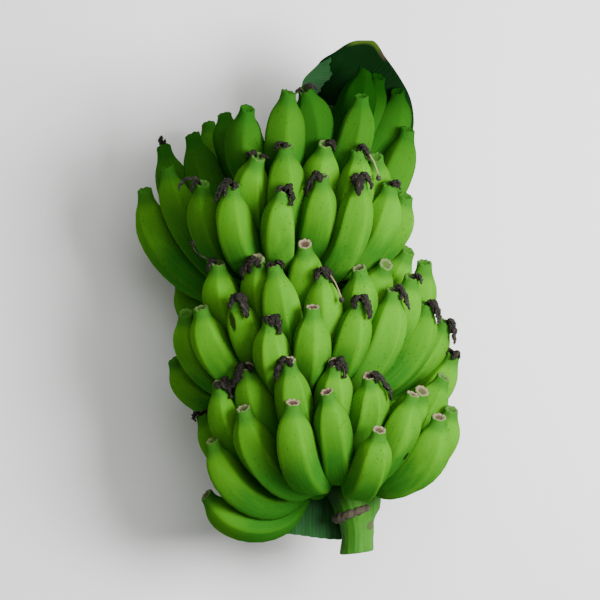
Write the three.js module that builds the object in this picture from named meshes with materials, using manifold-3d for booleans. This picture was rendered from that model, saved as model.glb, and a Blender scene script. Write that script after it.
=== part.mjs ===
// A bunch of green plantains as cut from the plant, lying on its back.
// The stalk runs along Y with its cut lower end at -Y. The side that faces up (+Z) is the bunch's front.
// Hands of fingers spring from the stalk at several heights and curve up towards +Y, as they grew.
// All sizes are in millimetres.
import * as THREE from "three";
import { mergeVertices } from "three/addons/utils/BufferGeometryUtils.js";
import Module from "manifold-3d";

const wasm = await Module();
wasm.setup();

// Driving dimensions
const AXIS_HEIGHT = 130.5; // of the stalk's axis above the surface that the bunch lies on
const FLATTENING = 2; // how far below the surface a finger may reach, where it is then cut flat
const CLEARANCE = 0.3; // between two pieces that touch
const SMOOTHNESS = 0.1; // slivers smaller than this, left where fingers meet, are dropped
const FINGER_GIRTH = 20; // a full-sized finger's greatest radius
const FINGER_SIDES = { front: 6, back: 5 };
const FINGER_CORNERS = 1.05; // how far out the corners of a finger's section stand
const MOST_BENT = 52; // degrees that the most bent finger turns each side of its chord
const LEAST_BENT = 12;
const GIRTH_VARIATION = 0.05;
const CROWN_THICKNESS = 16; // the cushion that joins a hand's fingers to the stalk
const CROWN_DEPTH = 18; // how far it stands out of the stalk
const ROOT_SINK = 5; // how deep a finger's root lies in it
const ROW_LIFT = 10; // a hand's two rows of fingers start this far above and below its crown's middle

// A finger's outline: the distance along it from root to tip, and the share of its girth there
const FINGER_OUTLINE = [
  [0, 0.42],
  [0.3, 0.9],
  [0.58, 1.03],
  [0.8, 0.9],
  [0.92, 0.58],
  [1, 0.37],
];

// The stalk: its ends, how far across its axis stands at even steps of height, and its radius at several
// heights
const STALK_FOOT = -266;
const STALK_TOP = 205;
const STALK_BOW = [62, 53, 16, 2, -5, -10, -11, 0, 24];
const STALK_SIDES = 14;
const STALK_RADII = [
  [STALK_FOOT, 18.5],
  [-252, 17],
  [-232, 18.5],
  [-225, 23],
  [-217, 21.5],
  [-190, 23],
  [-100, 23],
  [30, 25],
  [140, 26],
  [STALK_TOP, 24],
];

// The hands on the front, from the lowest up. Each row lists its fingers from left to right:
// how far the tip stands across and up from the bunch's middle, what is left of the flower there
// (0 a bare scar, 1 a dried flower, 2 one with its long style) and, where it isn't the usual reach,
// how far the tip stands in front of the stalk's axis.
const FRONT_HANDS = [
  {
    name: "hand_1_front",
    crown: -173,
    length: 134,
    tipRise: 70,
    sag: [24, 6],
    lower: [
      [-98, -203, 0, 30],
      [-90, -144, 0],
      [-58, -110, 0],
      [-7, -103, 0],
      [27, -92, 0],
      [81, -132, 0],
      [116, -96, 0],
      [143, -120, 0],
      [157, -113, 0, 50],
    ],
    upper: [
      [-102, -118, 1, 10],
      [-82, -84, 1],
      [-49, -64, 1],
      [-14, -59, 1],
      [33, -60, 1],
      [71, -77, 0],
      [126, -94, 0],
      [150, -80, 0, 35],
    ],
  },
  {
    name: "hand_2_front",
    crown: -73,
    length: 140,
    tipRise: 76,
    sag: [14, 18],
    lower: [
      [-132, -62, 0, 0],
      [-118, -13, 0],
      [-102, -8, 0],
      [-65, 3, 1],
      [-29, -19, 1],
      [14, -7, 0],
      [59, 2, 1],
      [96, 11, 1],
      [131, -3, 0],
      [153, -23, 1],
      [161, -56, 1],
    ],
    upper: [
      [-84, 39, 2],
      [-44, 45, 1],
      [-28, 36, 1],
      [3, 61, 0],
      [21, 28, 2],
      [59, 34, 0],
      [89, 37, 0],
      [116, 24, 1],
      [112, 53, 0, 40],
      [130, 40, 0, 20],
    ],
  },
  {
    name: "hand_3_front",
    crown: 45,
    length: 146,
    tipRise: 80,
    sag: [30, 8],
    lower: [
      [-163, 116, 0, 0],
      [-139, 139, 0, 20],
      [-100, 120, 1],
      [-67, 118, 1],
      [-16, 113, 1],
      [21, 126, 1],
      [61, 126, 1],
      [92, 120, 1],
      [110, 108, 0, 50],
    ],
    upper: [
      [-144, 162, 0, -25],
      [-113, 173, 0, 20],
      [-42, 147, 1],
      [-15, 158, 1],
      [26, 160, 1],
      [59, 154, 2],
      [78, 147, 0],
      [112, 179, 0, 20],
    ],
  },
  {
    name: "hand_4_front",
    crown: 124,
    length: 138,
    tipRise: 82,
    sag: [8, 4],
    lower: [
      [-79, 194, 0, 30],
      [-53, 196, 0],
      [-11, 213, 0],
      [4, 216, 1],
      [63, 210, 0],
    ],
    upper: [
      [68, 239, 0, 45],
      [82, 233, 0, 30],
      [102, 219, 0, 18],
    ],
  },
];

// The hands on the back, between the front ones, in evenly spread rows. Each spreads by some degrees to the
// left and to the right of straight back.
const BACK_HANDS = [
  { name: "hand_5_back", crown: -125, length: 134, spread: [78, 74] },
  { name: "hand_6_back", crown: -22, length: 140, spread: [78, 72] },
  { name: "hand_7_back", crown: 88, length: 140, spread: [60, 66] },
];
const BACK_HABIT = { tipRise: 78, sag: [0, 0], lower: 6, upper: 5 }; // what they share
const BACK_SHORTENING = 0.16; // how much shorter the outermost ones are
const BACK_RISE = { lower: 62, upper: 98 }; // of a tip above its crown

// The leaf that hoods the top of the bunch: points on its rim from the left round over the top to the right,
// and where it springs from behind the stalk. Each is across, up and forwards of the axis.
const LEAF_RIM = [
  [21, 168, -20],
  [20, 210, -4],
  [19, 246, 20],
  [37, 259, 32],
  [55, 269, 40],
  [76, 270, 38],
  [89, 254, 24],
  [106, 231, 6],
  [117, 210, -14],
  [120, 184, -26],
  [112, 158, -28],
];
const LEAF_FOOT = { up: 165, forwards: -29, halfWidth: 14 };
const LEAF_THICKNESS = 1.4;
const LEAF_HOLLOW = 1.8; // how late towards its rim the leaf curls forwards

// The torn flap at the leaf's left margin: its folded edge and its ragged edge, from the top down
const FLAP_FOLD = [
  [20, 247, 21],
  [3, 229, 18],
  [2, 214, 18],
];
const FLAP_TEAR = [
  [36, 258, 31],
  [29, 238, 27],
  [20, 226, 23],
  [7, 214, 19],
];
const FLAP_RAGGEDNESS = 2.5;

// The sheath of a fallen leaf behind the foot of the stalk, striped lengthwise
const BRACT = { left: -31, right: 58, top: -178, bottom: -248, behind: -20, bulge: 5, thickness: 1.6 };

// How the growing fingers push each other aside
const FIRMNESS = 0.9; // how much of its girth a finger keeps where it presses on one of its own hand
const GROWTH_STEPS = 160;
const GROWTH_BEADS = 8; // spheres along a finger that feel its neighbours
const GROWTH_RATE = 0.22;
const GROWTH_RETURN = new THREE.Vector3(0.12, 0.12, 0.01); // how strongly a tip is drawn back to its place

const UP = new THREE.Vector3(0, 1, 0);

// A repeatable random number from 0 to 1.
function draw(seed) {
  const turned = Math.sin(seed * 12.9898) * 43758.5453;
  return turned - Math.floor(turned);
}

// The value at x of a list of [x, value] pairs, in straight lines between them.
function lineThrough(pairs, x) {
  if (x <= pairs[0][0]) return pairs[0][1];
  for (let i = 1; i < pairs.length; i += 1) {
    const [x0, y0] = pairs[i - 1];
    const [x1, y1] = pairs[i];
    if (x <= x1) return y0 + ((y1 - y0) * (x - x0)) / (x1 - x0);
  }
  return pairs.at(-1)[1];
}

// The point on the stalk's axis at a height.
const stalkAxis = new THREE.SplineCurve(STALK_BOW.map((across, i) => new THREE.Vector2(across, i)));

function stalkAt(up) {
  const along = THREE.MathUtils.clamp((up - STALK_FOOT) / (STALK_TOP - STALK_FOOT), 0, 1);
  return new THREE.Vector3(stalkAxis.getPoint(along).x, up, 0);
}

// The unit vector out of the stalk at an azimuth: 0 is the front, and a quarter turn is to the right.
function outwards(azimuth) {
  return new THREE.Vector3(Math.sin(azimuth), 0, Math.cos(azimuth));
}

// The point on the stalk's axis level with a crown at an azimuth. Its left and right ends hang below its
// middle.
function crownFoot(hand, azimuth, lift) {
  const sag = Math.sin(azimuth) < 0 ? hand.sag[0] : hand.sag[1];
  return stalkAt(hand.crown + lift - sag * Math.sin(azimuth) ** 2);
}

function footOf(hand, row, azimuth) {
  return crownFoot(hand, azimuth, row === "upper" ? ROW_LIFT : -ROW_LIFT);
}

// A finger that springs from its hand's crown and ends at a tip.
function plantFinger(hand, row, tip, remains, seed) {
  const azimuth = Math.atan2(tip.x - stalkAt(hand.crown).x, tip.z);
  const foot = footOf(hand, row, azimuth);
  const radius = lineThrough(STALK_RADII, foot.y);
  return {
    root: foot.clone().addScaledVector(outwards(azimuth), radius + CROWN_DEPTH - ROOT_SINK),
    home: tip.clone(),
    tip: tip.clone(),
    sway: new THREE.Vector3(),
    tipRise: hand.tipRise,
    girth: FINGER_GIRTH * (1 + GIRTH_VARIATION * (2 * draw(seed) - 1.4)),
    hand: hand.name,
    azimuth,
    remains,
    seed,
  };
}

// Half of a finger's whole bend, by how steeply its tip stands above its root. Fingers end near upright.
function turnOf(tipRise, slope) {
  return THREE.MathUtils.clamp(tipRise - slope, LEAST_BENT, MOST_BENT) * THREE.MathUtils.DEG2RAD;
}

// How far from the stalk's axis the tip of a finger of the hand's length stands, by how far it rises above
// its root.
function reachOf(hand, rise) {
  let low = -80;
  let high = 80;
  let chord = 0;
  for (let i = 0; i < 20; i += 1) {
    const slope = (low + high) / 2;
    const turn = turnOf(hand.tipRise, slope);
    chord = (hand.length * Math.sin(turn)) / turn;
    if (chord * Math.sin(slope * THREE.MathUtils.DEG2RAD) < rise) low = slope;
    else high = slope;
  }
  const out = chord * Math.cos(low * THREE.MathUtils.DEG2RAD);
  return out + lineThrough(STALK_RADII, hand.crown) + CROWN_DEPTH - ROOT_SINK;
}

function frontFingers(hand) {
  return ["lower", "upper"].flatMap((row) =>
    hand[row].map(([across, up, remains, depth], i) => {
      const foot = footOf(hand, row, 0);
      const reach = reachOf(hand, up - foot.y);
      const usual = Math.sqrt(Math.max(reach ** 2 - (across - foot.x) ** 2, 0));
      const tip = new THREE.Vector3(across, up, depth ?? usual);
      return plantFinger(hand, row, tip, remains, hand.crown + 7 * i + (row === "upper" ? 500 : 0));
    }),
  );
}

function backFingers(hand) {
  return ["lower", "upper"].flatMap((row) =>
    Array.from({ length: hand[row] }, (_, i) => {
      const seed = hand.crown + 7 * i + (row === "upper" ? 900 : 700);
      const share = (2 * (i + 0.5)) / hand[row] - 1;
      const spread = share > 0 ? hand.spread[0] : hand.spread[1];
      const azimuth = Math.PI + THREE.MathUtils.degToRad(spread * share);
      const foot = footOf(hand, row, azimuth);
      const size = 1 - BACK_SHORTENING * share ** 2;
      const rise = size * (BACK_RISE[row] + 10 * (draw(seed + 1) - 0.5));
      const reach = reachOf({ ...hand, length: size * hand.length }, rise);
      const tip = foot.clone().addScaledVector(outwards(azimuth), reach);
      tip.y += rise;
      return plantFinger(hand, row, tip, draw(seed + 2) < 0.6 ? 1 : 0, seed);
    }),
  );
}

// The four points of a finger's bowed centre line. It leaves its root and meets its tip at equal angles to
// the straight line between them, as an arc does, and bends up.
function bowOf(finger) {
  const chord = finger.tip.clone().sub(finger.root);
  const straight = chord.length();
  chord.normalize();
  const turn = turnOf(finger.tipRise, Math.asin(chord.y) * THREE.MathUtils.RAD2DEG);
  const handle = ((2 / 3) * straight * Math.tan(turn / 2)) / Math.sin(turn);
  const rising = UP.clone().addScaledVector(chord, -UP.dot(chord)).normalize();
  const leave = chord.clone().multiplyScalar(Math.cos(turn)).addScaledVector(rising, -Math.sin(turn));
  const arrive = chord.clone().multiplyScalar(Math.cos(turn)).addScaledVector(rising, Math.sin(turn));
  return {
    points: [
      finger.root.clone(),
      finger.root.clone().addScaledVector(leave, handle).add(finger.sway),
      finger.tip.clone().addScaledVector(arrive, -handle).add(finger.sway),
      finger.tip.clone(),
    ],
    side: new THREE.Vector3().crossVectors(chord, rising),
  };
}

// Beads along a finger that stand for its body while it grows.
function beadsOf(finger) {
  const [a, b, c, d] = bowOf(finger).points;
  return Array.from({ length: GROWTH_BEADS }, (_, i) => {
    const t = 0.25 + (0.75 * i) / (GROWTH_BEADS - 1);
    const s = 1 - t;
    const at = new THREE.Vector3()
      .addScaledVector(a, s ** 3)
      .addScaledVector(b, 3 * s * s * t)
      .addScaledVector(c, 3 * s * t * t)
      .addScaledVector(d, t ** 3);
    return { at, t, radius: finger.girth * lineThrough(FINGER_OUTLINE, t) };
  });
}

// Moves each finger's tip and middle until neighbours no longer press into each other or the stalk.
function grow(fingers) {
  for (let step = 0; step < GROWTH_STEPS; step += 1) {
    const beads = fingers.map(beadsOf);
    const pushTip = fingers.map(() => new THREE.Vector3());
    const pushMiddle = fingers.map(() => new THREE.Vector3());
    const press = (i, bead, push) => {
      pushTip[i].addScaledVector(push, bead.t ** 2);
      pushMiddle[i].addScaledVector(push, 2 * bead.t * (1 - bead.t));
    };
    for (let i = 0; i < fingers.length; i += 1) {
      for (let j = i + 1; j < fingers.length; j += 1) {
        if (fingers[i].tip.distanceTo(fingers[j].tip) > 190) continue;
        for (const one of beads[i]) {
          for (const other of beads[j]) {
            const apart = one.at.clone().sub(other.at);
            const firmness = fingers[i].hand === fingers[j].hand ? FIRMNESS : 1;
            const gap = apart.length() - firmness * (one.radius + other.radius);
            if (gap >= 0) continue;
            apart.normalize().multiplyScalar(-gap * GROWTH_RATE);
            press(i, one, apart);
            press(j, other, apart.clone().negate());
          }
        }
      }
      for (const bead of beads[i]) {
        const out = bead.at.clone().sub(stalkAt(bead.at.y));
        out.y = 0;
        const gap = out.length() - bead.radius - lineThrough(STALK_RADII, bead.at.y);
        const besideStalk = bead.at.y < STALK_TOP;
        if (gap < 0 && besideStalk) press(i, bead, out.setLength(-gap * GROWTH_RATE));
        const sunk = bead.radius - bead.at.z - AXIS_HEIGHT - FLATTENING;
        if (sunk > 0) press(i, bead, new THREE.Vector3(0, 0, sunk * GROWTH_RATE));
      }
    }
    fingers.forEach((finger, i) => {
      finger.tip.add(pushTip[i]);
      finger.tip.add(finger.home.clone().sub(finger.tip).multiply(GROWTH_RETURN));
      finger.sway.add(pushMiddle[i]).multiplyScalar(0.98);
    });
  }
}

// A solid of revolution along Y, bent so that Y follows a curve and grown all round by an allowance. The
// outline lists [share of the curve, radius].
function bentTurning(outline, sides, curve, side, allowance) {
  const wider = allowance / Math.cos(Math.PI / sides);
  const profile = [
    new THREE.Vector2(0, outline[0][0]),
    ...outline.map(([along, radius]) => new THREE.Vector2(radius + wider, along)),
    new THREE.Vector2(0, outline.at(-1)[0]),
  ];
  const geometry = new THREE.LatheGeometry(profile, sides);
  const position = geometry.getAttribute("position");
  for (let i = 0; i < position.count; i += 1) {
    const along = Math.min(Math.max(position.getY(i), 0), 1);
    const tangent = curve.getTangentAt(along);
    const across = side.clone().addScaledVector(tangent, -side.dot(tangent)).normalize();
    const third = new THREE.Vector3().crossVectors(across, tangent);
    const beyond = along === 0 ? -allowance : along === 1 ? allowance : 0;
    const at = curve
      .getPointAt(along)
      .addScaledVector(tangent, beyond)
      .addScaledVector(across, position.getX(i))
      .addScaledVector(third, position.getZ(i));
    position.setXYZ(i, at.x, at.y, at.z);
  }
  return solidOf(geometry);
}

// A closed geometry as a solid that manifold-3d can join and cut.
function solidOf(geometry) {
  const bare = geometry.clone();
  bare.deleteAttribute("normal");
  bare.deleteAttribute("uv");
  const merged = mergeVertices(bare, 1e-4);
  const whole = [];
  const corners = merged.index.array;
  for (let i = 0; i < corners.length; i += 3) {
    const [a, b, c] = [corners[i], corners[i + 1], corners[i + 2]];
    if (a !== b && b !== c && c !== a) whole.push(a, b, c);
  }
  const made = new wasm.Manifold(
    new wasm.Mesh({
      numProp: 3,
      vertProperties: merged.attributes.position.array,
      triVerts: new Uint32Array(whole),
    }),
  );
  if (made.volume() > 0) return made;
  for (let i = 0; i < whole.length; i += 3) [whole[i + 1], whole[i + 2]] = [whole[i + 2], whole[i + 1]];
  return new wasm.Manifold(
    new wasm.Mesh({
      numProp: 3,
      vertProperties: merged.attributes.position.array,
      triVerts: new Uint32Array(whole),
    }),
  );
}

function fingerSolid(finger, allowance) {
  const { points, side } = bowOf(finger);
  const curve = new THREE.CubicBezierCurve3(...points);
  const sides = finger.hand.endsWith("back") ? FINGER_SIDES.back : FINGER_SIDES.front;
  const girth = FINGER_CORNERS * finger.girth;
  const outline = FINGER_OUTLINE.map(([along, share]) => [along, girth * share]);
  return bentTurning(outline, sides, curve, side, allowance);
}

// What is left of the flower: a shrivelled stub that hooks over from the tip.
const REMAINS_OUTLINE = [
  [0, 2.8],
  [0.45, 3.2],
  [1, 1.3],
];
const REMAINS_SIDES = 4;

function remainsSolid(finger, allowance) {
  const { points, side } = bowOf(finger);
  const ahead = points[3].clone().sub(points[2]).normalize();
  const lean = side.clone().multiplyScalar(draw(finger.seed + 3) < 0.5 ? 1 : -1);
  const curve = new THREE.CubicBezierCurve3(
    finger.tip.clone().addScaledVector(ahead, -4),
    finger.tip.clone().addScaledVector(ahead, 7),
    finger.tip.clone().addScaledVector(ahead, 11).addScaledVector(lean, 9),
    finger.tip.clone().addScaledVector(ahead, 1).addScaledVector(lean, 14),
  );
  return bentTurning(REMAINS_OUTLINE, REMAINS_SIDES, curve, ahead.clone().cross(lean), allowance);
}

// The cushion at a hand's root: a band that hugs the stalk behind the fingers.
const CROWN_OUTLINE = [
  [0, 0.75],
  [0.15, 1],
  [0.5, 1],
  [0.85, 1],
  [1, 0.75],
];
const CROWN_SIDES = 6;
const CROWN_OVERHANG = 0.2; // how far round the stalk it runs past its last finger, in radians

function crownSolid(hand, allowance) {
  const behind = hand.name.endsWith("back");
  const turns = hand.fingers.map(({ azimuth }) => (behind ? wrap(azimuth) : azimuth));
  const first = Math.min(...turns) - CROWN_OVERHANG;
  const last = Math.max(...turns) + CROWN_OVERHANG;
  const radius = lineThrough(STALK_RADII, hand.crown) + CROWN_DEPTH / 2;
  const points = Array.from({ length: 9 }, (_, i) => {
    const azimuth = first + ((last - first) * i) / 8;
    return crownFoot(hand, azimuth, 0).addScaledVector(outwards(azimuth), radius);
  });
  const outline = CROWN_OUTLINE.map(([along, share]) => [along, CROWN_THICKNESS * share]);
  return bentTurning(outline, CROWN_SIDES, new THREE.CatmullRomCurve3(points), UP, allowance);
}

// A hand in one piece: its crown, its fingers and what is left of their flowers.
function handSolid(hand, allowance) {
  const parts = [crownSolid(hand, allowance)];
  for (const finger of hand.fingers) {
    parts.push(fingerSolid(finger, allowance));
    if (finger.remains) parts.push(remainsSolid(finger, allowance));
  }
  return wasm.Manifold.union(parts);
}

// An azimuth as a number from 0 to a full turn, so that those at the back run without a break.
function wrap(azimuth) {
  return (azimuth + 2 * Math.PI) % (2 * Math.PI);
}

function stalkSolid(allowance) {
  const foot = STALK_FOOT;
  const reach = STALK_TOP - foot;
  const curve = new THREE.CatmullRomCurve3(
    Array.from({ length: 25 }, (_, i) => stalkAt(foot + (reach * i) / 24)),
  );
  const outline = STALK_RADII.map(([up, radius]) => [(up - foot) / reach, radius]);
  return bentTurning(outline, STALK_SIDES, curve, new THREE.Vector3(1, 0, 0), allowance);
}

function vectors(points) {
  return points.map((point) => new THREE.Vector3(...point));
}

// A thin sheet whose middle surface is a function of u and v, each from 0 to 1.
function sheetSolid(surface, columns, rows, thickness) {
  const geometry = new THREE.BoxGeometry(1, 1, 1, columns, rows, 1);
  const position = geometry.getAttribute("position");
  const nudge = 0.01;
  for (let i = 0; i < position.count; i += 1) {
    const u = position.getX(i) + 0.5;
    const v = position.getY(i) + 0.5;
    const acrossSheet = surface(Math.min(u + nudge, 1), v).sub(surface(Math.max(u - nudge, 0), v));
    const alongSheet = surface(u, Math.min(v + nudge, 1)).sub(surface(u, Math.max(v - nudge, 0)));
    const normal = acrossSheet.cross(alongSheet).normalize();
    const at = surface(u, v).addScaledVector(normal, thickness * position.getZ(i));
    position.setXYZ(i, at.x, at.y, at.z);
  }
  return solidOf(geometry);
}

function leafSolid() {
  const rim = new THREE.CatmullRomCurve3(vectors(LEAF_RIM));
  const { up, forwards, halfWidth } = LEAF_FOOT;
  const centre = stalkAt(up).x;
  const blade = (u, v) => {
    const edge = rim.getPoint(u);
    const foot = new THREE.Vector3(centre + halfWidth * (2 * u - 1), up, forwards);
    const at = foot.clone().lerp(edge, v);
    at.z = foot.z + (edge.z - foot.z) * v ** LEAF_HOLLOW;
    return at;
  };
  const fold = new THREE.CatmullRomCurve3(vectors(FLAP_FOLD));
  const tear = new THREE.CatmullRomCurve3(vectors(FLAP_TEAR));
  const flap = (u, v) => {
    const at = fold.getPoint(1 - v).lerp(tear.getPoint(1 - v), u);
    at.x += u * FLAP_RAGGEDNESS * (v < 1 ? Math.sin(v * 31) : 0);
    return at;
  };
  const blades = [sheetSolid(blade, 12, 5, LEAF_THICKNESS), sheetSolid(flap, 2, 8, LEAF_THICKNESS)];
  return wasm.Manifold.union(blades);
}

function bractSolid() {
  const { left, right, top, bottom, behind, bulge, thickness } = BRACT;
  const sheath = (u, v) => {
    const x = left + (right - left) * u;
    const wave = 3 * Math.sin(9 * u + 1) - 3 * u;
    const y = bottom + wave + (top - bottom - wave) * v;
    return new THREE.Vector3(x, y, behind + bulge * (1 - u) ** 2);
  };
  return sheetSolid(sheath, 7, 2, thickness);
}

// The largest of a solid's separate bodies, without the scraps that a cut left.
function largest(solid) {
  return solid.decompose().sort((a, b) => b.volume() - a.volume())[0];
}

// A solid without the room that its neighbours take.
function trimmed(solid, room) {
  return largest(solid.simplify(SMOOTHNESS).subtract(room).simplify(SMOOTHNESS / 10));
}

// What a box covers that is larger than the bunch and stands on the surface that it lies on.
function aboveSurface() {
  const side = 900;
  const geometry = new THREE.BoxGeometry(side, side, side);
  geometry.translate(0, 0, side / 2 - AXIS_HEIGHT);
  return solidOf(geometry);
}

function meshOf(name, solid, colour, roughness) {
  const made = solid.getMesh();
  const geometry = new THREE.BufferGeometry();
  geometry.setAttribute("position", new THREE.BufferAttribute(new Float32Array(made.vertProperties), 3));
  geometry.setIndex(new THREE.BufferAttribute(new Uint32Array(made.triVerts), 1));
  geometry.computeVertexNormals();
  const material = new THREE.MeshStandardMaterial({ color: colour, roughness, metalness: 0 });
  const mesh = new THREE.Mesh(geometry, material);
  mesh.name = name;
  return mesh;
}

const hands = [
  ...FRONT_HANDS.map((hand) => ({ ...hand, fingers: frontFingers(hand) })),
  ...BACK_HANDS.map((hand) => ({ ...BACK_HABIT, ...hand }))
    .map((hand) => ({ ...hand, fingers: backFingers(hand) })),
];
grow(hands.flatMap((hand) => hand.fingers));

const bunch = new THREE.Group();
const keep = aboveSurface();
bunch.add(meshOf("stalk", stalkSolid(0), 0x5f9440, 0.6));
let taken = stalkSolid(CLEARANCE);
for (const hand of hands) {
  const solid = trimmed(handSolid(hand, 0).intersect(keep), taken);
  taken = taken.add(handSolid(hand, CLEARANCE));
  bunch.add(meshOf(hand.name, solid, 0x5fa02c, 0.45));
}
bunch.add(meshOf("top_leaf", trimmed(leafSolid(), taken), 0x1f4a22, 0.7));
bunch.add(meshOf("lower_bract", trimmed(bractSolid(), taken), 0x23503a, 0.7));

// The bunch stands on the origin: its box's bottom centre is there.
const box = new THREE.Box3().setFromObject(bunch);
const middle = box.getCenter(new THREE.Vector3());
bunch.position.set(-middle.x, -middle.y, AXIS_HEIGHT);

export default bunch;
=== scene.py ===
import math

import bpy
import numpy as np
from bpy.props import FloatProperty, FloatVectorProperty, IntProperty, PointerProperty
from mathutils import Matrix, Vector


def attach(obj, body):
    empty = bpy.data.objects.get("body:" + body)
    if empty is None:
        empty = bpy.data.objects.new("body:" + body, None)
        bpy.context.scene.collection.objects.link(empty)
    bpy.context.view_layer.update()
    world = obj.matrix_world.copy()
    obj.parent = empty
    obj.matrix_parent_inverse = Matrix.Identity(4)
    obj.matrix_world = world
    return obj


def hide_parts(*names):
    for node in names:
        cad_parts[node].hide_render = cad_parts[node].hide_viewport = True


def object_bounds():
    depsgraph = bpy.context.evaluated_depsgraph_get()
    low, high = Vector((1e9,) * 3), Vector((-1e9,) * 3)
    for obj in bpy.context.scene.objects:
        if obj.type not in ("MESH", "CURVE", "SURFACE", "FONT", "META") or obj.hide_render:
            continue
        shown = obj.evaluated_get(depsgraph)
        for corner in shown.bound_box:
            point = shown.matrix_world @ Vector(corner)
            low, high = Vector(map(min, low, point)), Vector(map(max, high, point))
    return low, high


bl_info = {
    "name": "Plantain bunch",
    "version": (1, 0, 0),
    "blender": (4, 5, 0),
    "location": "3D View > Sidebar > Plantains",
    "description": "Dresses the solids of a bunch of green plantains",
    "category": "Add Mesh",
}

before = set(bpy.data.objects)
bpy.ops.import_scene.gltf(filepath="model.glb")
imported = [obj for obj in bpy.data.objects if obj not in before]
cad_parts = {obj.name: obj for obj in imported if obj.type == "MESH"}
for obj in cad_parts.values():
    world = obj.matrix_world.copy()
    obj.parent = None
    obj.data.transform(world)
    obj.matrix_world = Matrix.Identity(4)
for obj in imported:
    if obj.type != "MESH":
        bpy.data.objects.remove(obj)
solid_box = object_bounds()

METRES = 0.001
BUNCH_AT = np.array([2.13, -1.67, 130.5])  # the middle of the stalk's axis, from the origin

# The fingers, as in the solids
FINGER_GIRTH = 20
GIRTH_VARIATION = 0.05
MOST_BENT = 52
LEAST_BENT = 12
CROWN_THICKNESS = 16
CROWN_DEPTH = 18
CROWN_OVERHANG = 0.2
ROOT_SINK = 5
ROW_LIFT = 10
GROWTH_OUTLINE = [[0, 0.42], [0.3, 0.9], [0.58, 1.03], [0.8, 0.9], [0.92, 0.58], [1, 0.37]]
FIRMNESS = 0.9
GROWTH_STEPS = 160
GROWTH_BEADS = 8
GROWTH_FROM = 0.25  # the share of a finger's length where its first bead is
GROWTH_RATE = 0.22
GROWTH_RETURN = np.array([0.12, 0.12, 0.01])  # how fast a tip goes back home across, up and out
GROWTH_SLACK = 0.98  # the share of a finger's sideways bow that lasts from step to step
CONTACT_RANGE = 190  # fingers with their tips further apart never touch
FLATTENING = 2
FOOT_TUCK = np.array([-14.0, -2.0, -20.0])  # how far the lowest hand's two left feet lead back
SHOWN_FLOWERS = 0.7  # the share of a back hand's spread, from its middle, where flowers stay on

# A finger's fine outline: the share of its length from the root, and of its girth
FINGER_OUTLINE = [
    (0.0, 0.43), (0.04, 0.47), (0.08, 0.55), (0.12, 0.66), (0.17, 0.79), (0.22, 0.88), (0.28, 0.945),
    (0.35, 0.98), (0.43, 1.0), (0.52, 1.005), (0.6, 1.0), (0.67, 0.99), (0.73, 0.965), (0.78, 0.92),
    (0.82, 0.855), (0.85, 0.78), (0.876, 0.69), (0.897, 0.6), (0.915, 0.525), (0.932, 0.47), (0.95, 0.43),
    (0.967, 0.405), (0.982, 0.395), (0.994, 0.39), (1.0, 0.355),
]
DISC_OUTLINE = [(1.001, 0.3), (0.999, 0.255), (0.993, 0.21), (0.991, 0.11)]  # the flower scar at its tip
DISC_HEIGHT = 0.9905  # the share of the length past which the blank can be scar
DISC_LIP = 0.995
DISC_RIM = 0.31
DISC_TILT = 17  # degrees that the scar is turned towards the open side
FINGER_SIDES = 40
FINGER_EDGES = 5
EDGE_BULGE = 1.12  # an angular section is this much wider, which keeps its girth
# How angular a finger is along its length
SHARPNESS = [(0, 0.4), (0.25, 0.9), (0.55, 1), (0.8, 0.85), (0.9, 0.5), (0.96, 0.15), (1, 0)]
LEFT_PAINTED_SHADE = -0.5  # painted shade: the bunch's left side is a deeper green

# The stalk
STALK_FOOT = -266
STALK_TOP = 205
STALK_BOW = np.array([62, 53, 16, 2, -5, -10, -11, 0, 24], float)
STALK_RADII = [
    [-266, 18.5], [-252, 17], [-232, 18.5], [-225, 23], [-217, 21.5],
    [-190, 23], [-100, 23], [30, 25], [140, 26], [205, 24],
]
STALK_SHOULDER = [(-236, 0), (-224, 5), (-206, 16), (-192, 15), (-165, 0)]  # how far its right side swells
SCAR_UP = -222
SCAR_SLANT = 7.5
SCAR_ENDS = (-105, 48)  # degrees round the stalk, from the front

# The blanks of what lies on the fingers' tips and between them: the share of the length, and of the girth
PETAL_OUTLINE = [
    (0, 0.6), (0.06, 0.85), (0.13, 0.95), (0.2, 0.75), (0.27, 1.0), (0.34, 1.05), (0.41, 0.8),
    (0.48, 0.95), (0.55, 1.15), (0.62, 0.9), (0.69, 0.85), (0.75, 1.05), (0.81, 0.8), (0.87, 0.6),
    (0.92, 0.65), (0.96, 0.4), (1.0, 0.15),
]
STYLE_OUTLINE = [
    (0, 0.6), (0.1, 0.55), (0.3, 0.5), (0.5, 0.5), (0.7, 0.5), (0.82, 0.55), (0.86, 0.9), (0.9, 1.6),
    (0.94, 1.9), (0.98, 1.5), (1.0, 0.7),
]
CROWN_END = [(0, 0.3), (0.02, 0.55), (0.06, 0.8), (0.12, 0.95)]
STYLE_WIDTH = 1.5

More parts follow.
